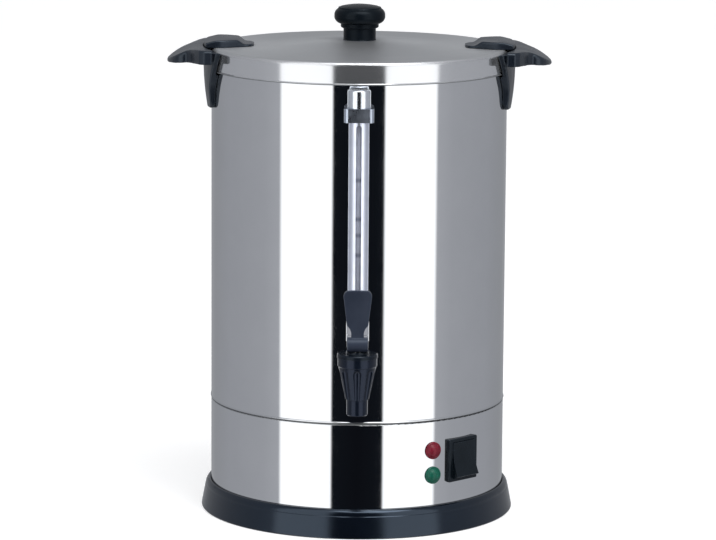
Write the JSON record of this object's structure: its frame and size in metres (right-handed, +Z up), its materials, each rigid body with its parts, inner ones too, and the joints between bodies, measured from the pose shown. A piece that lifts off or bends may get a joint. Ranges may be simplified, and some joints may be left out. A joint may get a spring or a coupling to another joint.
{
  "type": "coffee urn",
  "caption": "Round stainless coffee urn with a lift-off lid, side handles, sight gauge, lever tap, base skirt and a lift-out brew basket.",
  "frame": {"origin": "on the tank's axis, at the bottom rim of the base skirt, where the urn stands", "axes": "+Z up along the tank's axis, -Y out of the front with the tap, +X to the right as seen from the front"},
  "size_m": [0.3438, 0.3367, 0.4571],
  "materials": {
    "polished_steel": "polished",
    "lid_steel": "satin",
    "black_moulding": "gloss",
    "black_frame": "satin",
    "plating": "polished",
    "satin_plating": "satin",
    "glass": "clear",
    "rubber": "matte",
    "silicone": "matte",
    "fixings": "plain",
    "brass": "satin",
    "red_lens": "gloss",
    "green_lens": "gloss",
    "lamp_shell": "satin",
    "heating": "satin",
    "spreader": "satin",
    "thermostat": "satin"
  },
  "bodies": {
    "urn": {"tank": "polished_steel", "lower_housing": "polished_steel", "base_skirt": "black_moulding", "bottom_cover": "lid_steel", "feet": "rubber", "cover_screws": "fixings", "tie_rods": "fixings", "tie_nuts": "fixings", "handle_right": "black_moulding", "handle_left": "black_moulding", "handle_screws": "fixings", "handle_seals": "silicone", "gauge_glass": "glass", "gauge_guard": "satin_plating", "gauge_bushes": "rubber", "gauge_bracket": "satin_plating", "gauge_cap": "satin_plating", "gauge_socket": "plating", "gauge_packing": "silicone", "tap_body": "black_moulding", "tap_outer_gasket": "silicone", "tap_inner_gasket": "silicone", "tap_nut": "brass", "tap_bonnet": "black_moulding", "tap_spring": "fixings", "red_lamp_lens": "red_lens", "green_lamp_lens": "green_lens", "lamp_bodies": "lamp_shell", "lamp_clips": "fixings", "switch_body": "black_frame", "switch_terminals": "brass", "power_inlet": "black_frame", "inlet_pins": "brass", "inlet_screws": "fixings", "heat_spreader": "spreader", "boil_element": "heating", "warm_element": "heating", "boil_thermostat": "thermostat", "warm_thermostat": "thermostat", "thermal_cutout": "thermostat", "terminal_block": "black_frame"},
    "lid_set": {"lid": "lid_steel", "lid_knob": "black_moulding", "knob_washer": "fixings", "knob_screw": "fixings", "lid_ear_right": "black_moulding", "lid_ear_left": "black_moulding", "ear_rivets": "fixings"},
    "brew_pump": {"pump_tube": "fixings", "pump_foot": "fixings"},
    "valve_disc": {"pump_valve": "fixings"},
    "brew_basket": {"basket": "lid_steel"},
    "brew_cover": {"basket_cover": "lid_steel"},
    "plunger": {"tap_stem": "fixings", "tap_pin": "fixings", "tap_seat_cup": "silicone"},
    "lever": {"tap_lever": "black_moulding"},
    "rocker": {"switch_rocker": "black_frame"}
  },
  "joints": [
    {"name": "lid_lift", "type": "slide", "parent": "urn", "child": "lid_set", "axis": [0, 0, 1], "range_m": [0, 0.5]},
    {"name": "brew_lift", "type": "slide", "parent": "urn", "child": "brew_pump", "axis": [0, 0, 1], "range_m": [0, 0.34]},
    {"name": "basket_lift", "type": "slide", "parent": "brew_pump", "child": "brew_basket", "axis": [0, 0, 1], "range_m": [0, 0.1]},
    {"name": "cover_lift", "type": "slide", "parent": "brew_basket", "child": "brew_cover", "axis": [0, 0, 1], "range_m": [0, 0.04]},
    {"name": "valve_slide", "type": "slide", "parent": "brew_pump", "child": "valve_disc", "axis": [0, 0, 1], "range_m": [0, 0.002]},
    {"name": "tap_plunger", "type": "slide", "parent": "urn", "child": "plunger", "axis": [0, 0, 1], "range_m": [0, 0.0034], "deforming": ["tap_spring"]},
    {"name": "tap_lever", "type": "hinge", "parent": "plunger", "child": "lever", "pos_m": [0, -0.178, 0.18195], "axis": [1, 0, 0], "range_deg": [0, 35], "stiffness_Nm_per_rad": 0.12, "springref_deg": -28.65},
    {"name": "switch_rocker", "type": "hinge", "parent": "urn", "child": "rocker", "pos_m": [0.09317, -0.09547, 0.0635], "axis": [0.7157, 0.6984, 0], "range_deg": [0, 22]}
  ],
  "couplings": [
    {"joint": "brew_lift", "follows": "lid_lift", "ratio": 0.68},
    {"joint": "basket_lift", "follows": "lid_lift", "ratio": 0.2},
    {"joint": "cover_lift", "follows": "lid_lift", "ratio": 0.08},
    {"joint": "tap_plunger", "follows": "tap_lever", "m_per_rad": 0.0055}
  ]
}
